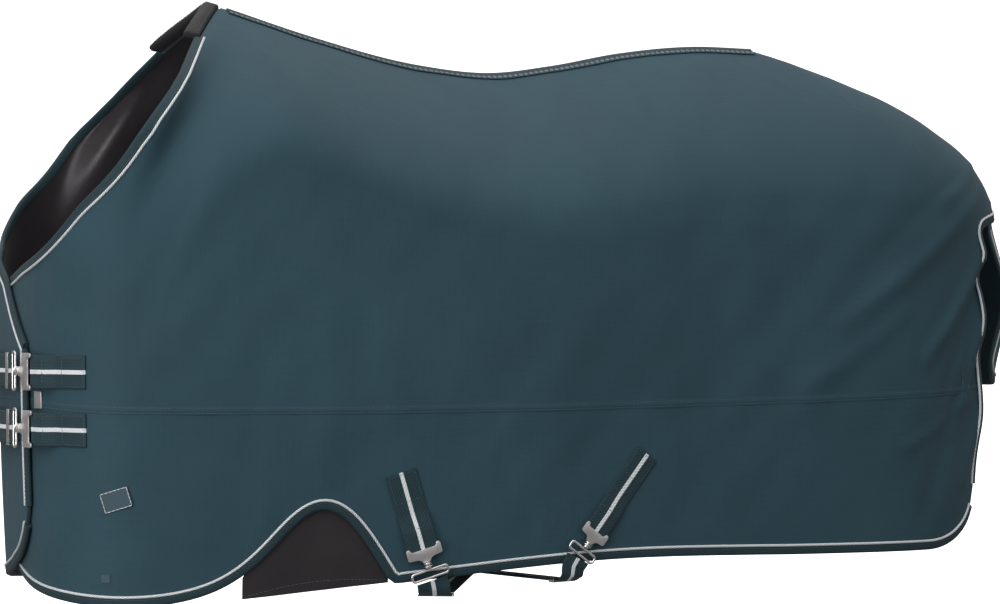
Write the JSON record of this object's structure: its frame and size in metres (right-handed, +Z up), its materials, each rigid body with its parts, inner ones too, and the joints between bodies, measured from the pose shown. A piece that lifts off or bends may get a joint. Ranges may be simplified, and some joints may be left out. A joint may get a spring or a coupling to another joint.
{
  "type": "turnout rug",
  "caption": "Horse turnout rug with a crossed chest closure, leg gussets, crossing belly straps, tail flap and metal hook fasteners.",
  "frame": {"origin": "on the lining's underside at the lowest dip of the back, where the rug rests on the horse", "axes": "+X towards the tail, -Y the horse's left side, +Z up"},
  "size_m": [1.7188, 0.6561, 0.9373],
  "materials": {
    "shell": "dark teal ripstop shell, matt",
    "trim": "darker teal binding with silver piping",
    "webbing": "dark teal woven webbing",
    "lining": "near-black smooth lining",
    "gusset": "near-black matt gusset",
    "pad": "near-black soft pad",
    "label": "slate woven label with a silver border",
    "hook_plate": "matt nickel plate",
    "stud": "polished nickel",
    "loop": "nickel wire and flat bar"
  },
  "bodies": {
    "rug": {"shell_upper_left": "shell", "shell_lower_left": "shell", "lining_left": "lining", "neck_binding_left": "trim", "flap_binding_left": "trim", "hem_binding_left": "trim", "rear_binding_left": "trim", "leg_gusset_left": "gusset", "shell_upper_right": "shell", "shell_lower_right": "shell", "lining_right": "lining", "neck_binding_right": "trim", "flap_binding_right": "trim", "hem_binding_right": "trim", "rear_binding_right": "trim", "leg_gusset_right": "gusset", "wither_pad": "pad", "spine_tape": "trim", "chest_upper_patch_strap": "webbing", "chest_upper_cross_strap": "webbing", "chest_lower_patch_strap": "webbing", "chest_lower_cross_strap": "webbing", "surcingle_front_patch_left": "webbing", "surcingle_front_patch_right": "webbing", "belly_strap_front": "webbing", "surcingle_rear_patch_left": "webbing", "surcingle_rear_patch_right": "webbing", "belly_strap_rear": "webbing", "chest_clasp_plate": "hook_plate", "label": "label", "size_tag": "label"},
    "tail_flap": {"tail_flap": "shell", "tail_flap_binding": "trim"},
    "chest_upper_hook": {"chest_upper_hook_plate": "hook_plate", "chest_upper_loop": "loop"},
    "chest_upper_stud": {"chest_upper_swivel_stud": "stud"},
    "chest_upper_slide": {"chest_upper_adjuster": "loop"},
    "chest_lower_hook": {"chest_lower_hook_plate": "hook_plate", "chest_lower_loop": "loop"},
    "chest_lower_stud": {"chest_lower_swivel_stud": "stud"},
    "chest_lower_slide": {"chest_lower_adjuster": "loop"},
    "belly_front_hook": {"belly_front_hook_plate": "hook_plate", "belly_front_loop": "loop"},
    "belly_front_stud": {"belly_front_swivel_stud": "stud"},
    "belly_front_slide": {"belly_front_adjuster": "loop"},
    "belly_rear_hook": {"belly_rear_hook_plate": "hook_plate", "belly_rear_loop": "loop"},
    "belly_rear_stud": {"belly_rear_swivel_stud": "stud"},
    "belly_rear_slide": {"belly_rear_adjuster": "loop"}
  },
  "joints": [
    {"name": "tail_flap_lift", "type": "hinge", "parent": "rug", "child": "tail_flap", "pos_m": [0.878, 0, -0.215], "axis": [0, -1, 0], "range_deg": [0, 100]},
    {"name": "chest_upper_hook_hinge", "type": "hinge", "parent": "rug", "child": "chest_upper_hook", "pos_m": [-0.78447, -0.19692, -0.47039], "axis": [0, 0, 1], "range_deg": [0, 20], "deforming": ["chest_upper_cross_strap"]},
    {"name": "chest_upper_stud_swivel", "type": "hinge", "parent": "chest_upper_hook", "child": "chest_upper_stud", "pos_m": [-0.78447, -0.19692, -0.47039], "axis": [-0.1713, 0.9852, 0], "range_deg": [-90, 90]},
    {"name": "chest_upper_adjuster_slide", "type": "slide", "parent": "chest_upper_hook", "child": "chest_upper_slide", "axis": [-0.1713, 0.9852, 0], "range_m": [0, 0.022]},
    {"name": "chest_lower_hook_hinge", "type": "hinge", "parent": "rug", "child": "chest_lower_hook", "pos_m": [-0.78275, -0.19565, -0.55667], "axis": [0, 0, 1], "range_deg": [0, 20], "deforming": ["chest_lower_cross_strap"]},
    {"name": "chest_lower_stud_swivel", "type": "hinge", "parent": "chest_lower_hook", "child": "chest_lower_stud", "pos_m": [-0.78275, -0.19565, -0.55667], "axis": [-0.1713, 0.9852, 0], "range_deg": [-90, 90]},
    {"name": "chest_lower_adjuster_slide", "type": "slide", "parent": "chest_lower_hook", "child": "chest_lower_slide", "axis": [-0.1713, 0.9852, 0], "range_m": [0, 0.022]},
    {"name": "belly_front_hook_hinge", "type": "hinge", "parent": "rug", "child": "belly_front_hook", "pos_m": [-0.21033, -0.3239, -0.73532], "axis": [-0.9568, 0.018, -0.2902], "range_deg": [0, 20], "deforming": ["belly_strap_front"]},
    {"name": "belly_front_stud_swivel", "type": "hinge", "parent": "belly_front_hook", "child": "belly_front_stud", "pos_m": [-0.21033, -0.3239, -0.73532], "axis": [0.2908, 0.0584, -0.955], "range_deg": [-90, 90]},
    {"name": "belly_front_adjuster_slide", "type": "slide", "parent": "belly_front_hook", "child": "belly_front_slide", "axis": [0.3882, 0.9216, 0], "range_m": [0, 0.022]},
    {"name": "belly_rear_hook_hinge", "type": "hinge", "parent": "rug", "child": "belly_rear_hook", "pos_m": [0.07619, -0.31449, -0.7165], "axis": [-0.7924, -0.1039, 0.601], "range_deg": [0, 20], "deforming": ["belly_strap_rear"]},
    {"name": "belly_rear_stud_swivel", "type": "hinge", "parent": "belly_rear_hook", "child": "belly_rear_stud", "pos_m": [0.07619, -0.31449, -0.7165], "axis": [-0.6035, -0.009, -0.7973], "range_deg": [-90, 90]},
    {"name": "belly_rear_adjuster_slide", "type": "slide", "parent": "belly_rear_hook", "child": "belly_rear_slide", "axis": [-0.3698, 0.9291, 0], "range_m": [0, 0.022]}
  ]
}
